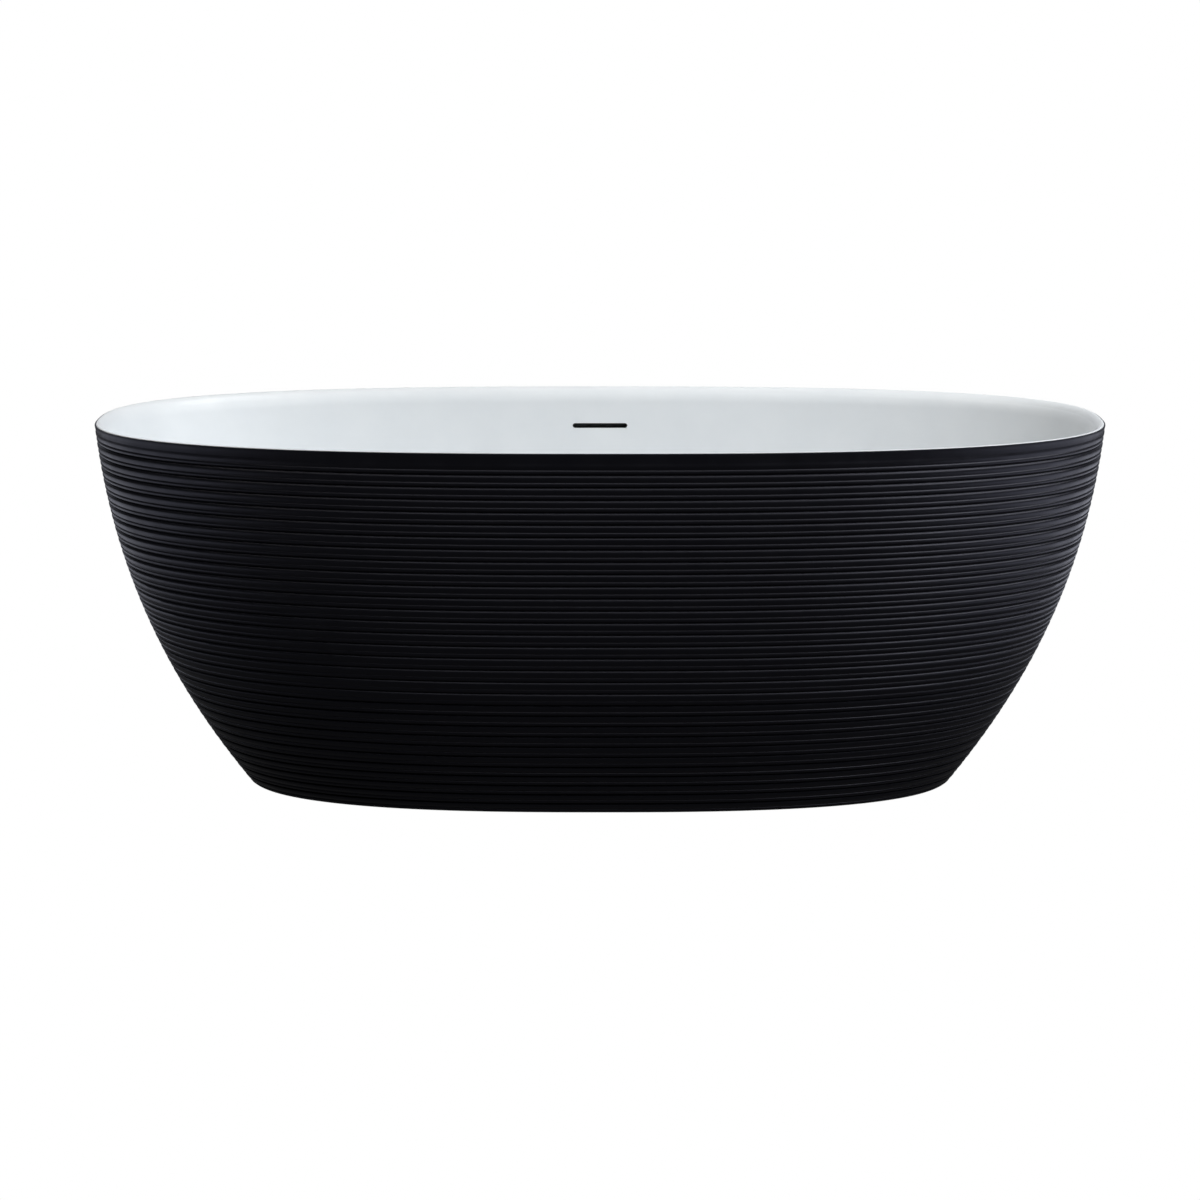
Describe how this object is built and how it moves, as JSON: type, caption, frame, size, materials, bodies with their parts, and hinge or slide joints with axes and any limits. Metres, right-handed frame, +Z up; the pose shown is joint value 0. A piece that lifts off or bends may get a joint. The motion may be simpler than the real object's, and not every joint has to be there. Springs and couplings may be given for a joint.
{
  "type": "freestanding bathtub",
  "caption": "Freestanding oval bathtub with a white inner basin, a black ribbed outer shell, a slot overflow, a pop-up waste with trap and a steel underframe on levelling feet.",
  "frame": {"origin": "On the floor under the middle of the tub, midway between the four levelling feet.", "axes": "+X runs along the tub to the right, +Y goes to the back where the overflow slot is, +Z is up."},
  "size_m": [1.5998, 0.75, 0.58],
  "materials": {
    "white_acrylic": "gloss",
    "black_shell": "satin",
    "adhesive": "matte",
    "board": "matte",
    "frame_paint": "satin",
    "zinc_steel": "satin",
    "spring_steel": "satin",
    "chrome": "polished",
    "brass": "satin",
    "rubber": "matte",
    "white_pipe": "satin",
    "black_fitting": "matte"
  },
  "bodies": {
    "tub": {"inner_basin": "white_acrylic", "outer_shell": "black_shell", "rim_adhesive_bead": "adhesive", "base_board": "board", "rail_front": "frame_paint", "rail_back": "frame_paint", "crossbar_left": "frame_paint", "crossbar_right": "frame_paint", "frame_bolt_front_left": "zinc_steel", "frame_nut_front_left": "zinc_steel", "shell_bracket_front_left": "zinc_steel", "foot_jam_nut_front_left": "zinc_steel", "frame_bolt_front_right": "zinc_steel", "frame_nut_front_right": "zinc_steel", "shell_bracket_front_right": "zinc_steel", "foot_jam_nut_front_right": "zinc_steel", "frame_bolt_back_left": "zinc_steel", "frame_nut_back_left": "zinc_steel", "shell_bracket_back_left": "zinc_steel", "foot_jam_nut_back_left": "zinc_steel", "frame_bolt_back_right": "zinc_steel", "frame_nut_back_right": "zinc_steel", "shell_bracket_back_right": "zinc_steel", "foot_jam_nut_back_right": "zinc_steel", "waste_flange": "chrome", "waste_seal_upper": "rubber", "waste_seal_lower": "rubber", "waste_body": "white_pipe", "clicker_sleeve": "brass", "clicker_spring": "spring_steel", "trap_inlet_nut": "white_pipe", "trap_bend": "white_pipe", "trap_outlet_nut": "white_pipe", "outlet_pipe": "white_pipe", "overflow_gasket": "rubber", "overflow_box": "black_fitting", "overflow_funnel": "white_pipe", "overflow_pipe": "white_pipe", "overflow_inlet_nut": "black_fitting"},
    "plug": {"plug_cap": "chrome", "plug_seal": "rubber", "plug_stem": "brass"},
    "foot_front_left": {"foot_pad_front_left": "rubber", "foot_stud_front_left": "zinc_steel"},
    "foot_front_right": {"foot_pad_front_right": "rubber", "foot_stud_front_right": "zinc_steel"},
    "foot_back_left": {"foot_pad_back_left": "rubber", "foot_stud_back_left": "zinc_steel"},
    "foot_back_right": {"foot_pad_back_right": "rubber", "foot_stud_back_right": "zinc_steel"}
  },
  "joints": [
    {"name": "plug_lift", "type": "slide", "parent": "tub", "child": "plug", "axis": [0, 0, 1], "range_m": [0, 0.01], "deforming": ["clicker_spring"]},
    {"name": "level_front_left", "type": "slide", "parent": "tub", "child": "foot_front_left", "axis": [0, 0, -1], "range_m": [0, 0.015]},
    {"name": "level_front_right", "type": "slide", "parent": "tub", "child": "foot_front_right", "axis": [0, 0, -1], "range_m": [0, 0.015]},
    {"name": "level_back_left", "type": "slide", "parent": "tub", "child": "foot_back_left", "axis": [0, 0, -1], "range_m": [0, 0.015]},
    {"name": "level_back_right", "type": "slide", "parent": "tub", "child": "foot_back_right", "axis": [0, 0, -1], "range_m": [0, 0.015]}
  ]
}
